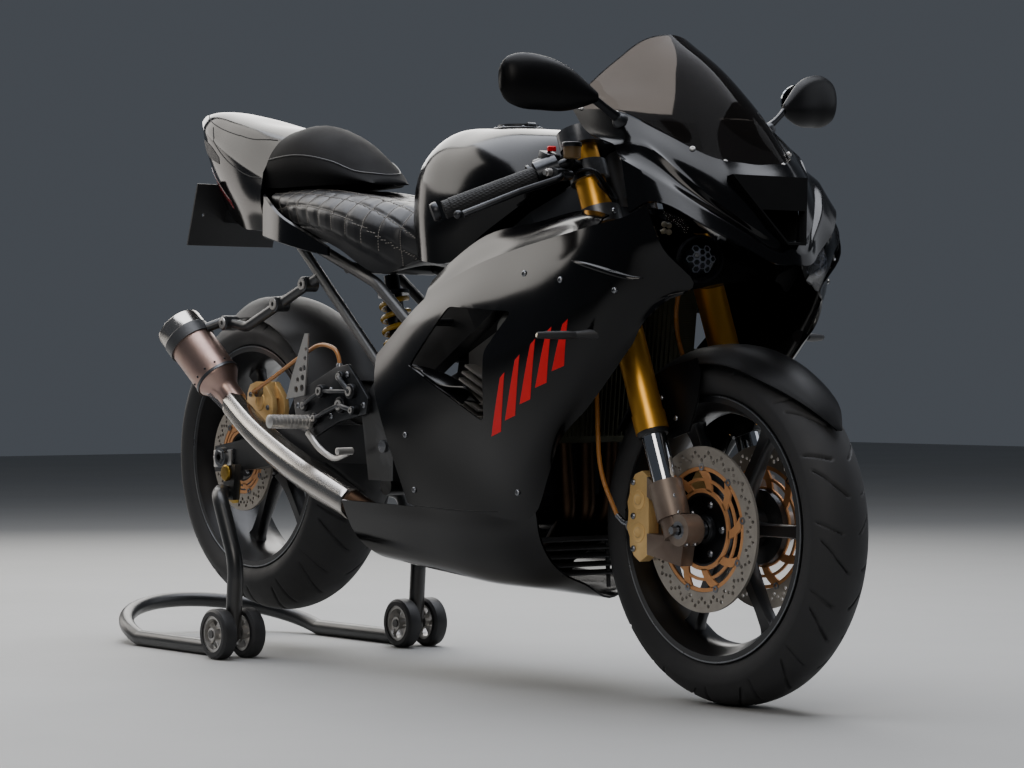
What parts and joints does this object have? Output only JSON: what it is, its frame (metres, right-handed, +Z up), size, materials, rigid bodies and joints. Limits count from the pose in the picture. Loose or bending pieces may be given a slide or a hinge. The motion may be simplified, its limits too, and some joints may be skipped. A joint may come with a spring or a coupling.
{
  "type": "sport bike",
  "caption": "Faired sport bike held upright on its rear paddock stand, with steering, spinning wheels, side stand and fuel cap lid.",
  "frame": {"origin": "on the floor, under the middle of the whole length and on the centre plane", "axes": "+X towards the front wheel, +Y to the rider's left, +Z up"},
  "size_m": [2.1294, 0.752, 1.15],
  "materials": {
    "tyre_rubber": "matte",
    "wheel_black": "satin",
    "disc_steel": "ground",
    "sprocket_steel": "plated",
    "chain_steel": "oiled",
    "fork_gold": "anodised gold",
    "slider_chrome": "hard chrome",
    "cast_bronze": "dark bronze",
    "caliper_gold": "anodised gold",
    "frame_black": "satin powder coat",
    "black_alloy": "anodised black",
    "silver_alloy": "brushed",
    "axle_steel": "plated",
    "engine_cast": "painted grey",
    "radiator_core": "matte black",
    "spring_yellow": "powder coat",
    "header_steel": "heat tinted",
    "titanium": "bead blasted",
    "grip_rubber": "ribbed",
    "gloss_black": "gloss lacquer",
    "matt_black": "grained",
    "seat_leather": "quilted",
    "pad_cover": "smooth",
    "smoked_lens": "smoked",
    "screen_tint": "dark tint",
    "red_lens": "gloss",
    "brake_hose": "braided",
    "stand_black": "powder coat",
    "wheel_nylon": "moulded",
    "cap_black": "anodised black"
  },
  "bodies": {
    "chassis": {"chain": "chain_steel", "side_fairing_left": "gloss_black", "side_fairing_right": "gloss_black", "belly_pan": "gloss_black", "nose_fairing": "gloss_black", "intake_duct": "matt_black", "headlights": "smoked_lens", "windscreen": "screen_tint", "mirrors": "gloss_black", "indicators": "matt_black", "instrument": "matt_black", "main_frame": "frame_black", "fairing_stay": "frame_black", "swingarm": "frame_black", "pivot_bolt": "axle_steel", "rear_axle": "axle_steel", "engine_block": "engine_cast", "radiator": "radiator_core", "subframe": "frame_black", "rear_shock": "spring_yellow", "rear_hugger": "matt_black", "exhaust_header": "header_steel", "link_pipe": "titanium", "silencer": "titanium", "silencer_bracket": "frame_black", "rear_caliper": "caliper_gold", "rear_hose": "brake_hose", "rearsets": "silver_alloy", "fuel_tank": "gloss_black", "rider_seat": "seat_leather", "seat_pad": "pad_cover", "tail_fairing": "gloss_black", "tail_light": "red_lens", "plate_bracket": "matt_black", "stand_frame": "stand_black"},
    "steering": {"fork_outers": "fork_gold", "fork_sliders": "slider_chrome", "fork_bottoms": "cast_bronze", "clip_ons": "black_alloy", "grips": "grip_rubber", "front_axle": "axle_steel", "triple_clamps": "black_alloy", "front_calipers": "caliper_gold", "front_mudguard": "gloss_black", "front_hoses": "brake_hose"},
    "front_wheel": {"front_tyre": "tyre_rubber", "front_rim": "wheel_black", "front_discs": "disc_steel"},
    "rear_wheel": {"rear_tyre": "tyre_rubber", "rear_rim": "wheel_black", "rear_disc": "disc_steel", "rear_sprocket": "sprocket_steel"},
    "side_stand_leg": {"side_stand": "black_alloy"},
    "cap_lid": {"fuel_cap": "cap_black"},
    "stand_pair_left": {"stand_wheels_left": "wheel_nylon"},
    "stand_pair_right": {"stand_wheels_right": "wheel_nylon"}
  },
  "joints": [
    {"name": "steering", "type": "hinge", "parent": "chassis", "child": "steering", "pos_m": [0.49252, 0, 0.89366], "axis": [-0.3633, 0, 0.9317], "range_deg": [-25, 25]},
    {"name": "front_wheel_spin", "type": "hinge", "parent": "steering", "child": "front_wheel", "pos_m": [0.76476, 0, 0.3], "axis": [0, 1, 0], "continuous": true},
    {"name": "rear_wheel_spin", "type": "hinge", "parent": "chassis", "child": "rear_wheel", "pos_m": [-0.63224, 0, 0.393], "axis": [0, 1, 0], "continuous": true},
    {"name": "side_stand_fold", "type": "hinge", "parent": "chassis", "child": "side_stand_leg", "pos_m": [-0.14724, 0.152, 0.348], "axis": [0, -1, 0], "range_deg": [0, 90]},
    {"name": "fuel_cap_lid", "type": "hinge", "parent": "chassis", "child": "cap_lid", "pos_m": [0.20276, 0, 1.0193], "axis": [0, 1, 0], "range_deg": [0, 95]},
    {"name": "stand_wheels_left_spin", "type": "hinge", "parent": "chassis", "child": "stand_pair_left", "pos_m": [-0.47524, 0.221, 0.05], "axis": [0, 1, 0], "continuous": true},
    {"name": "stand_wheels_right_spin", "type": "hinge", "parent": "chassis", "child": "stand_pair_right", "pos_m": [-0.47524, -0.221, 0.05], "axis": [0, 1, 0], "continuous": true}
  ]
}
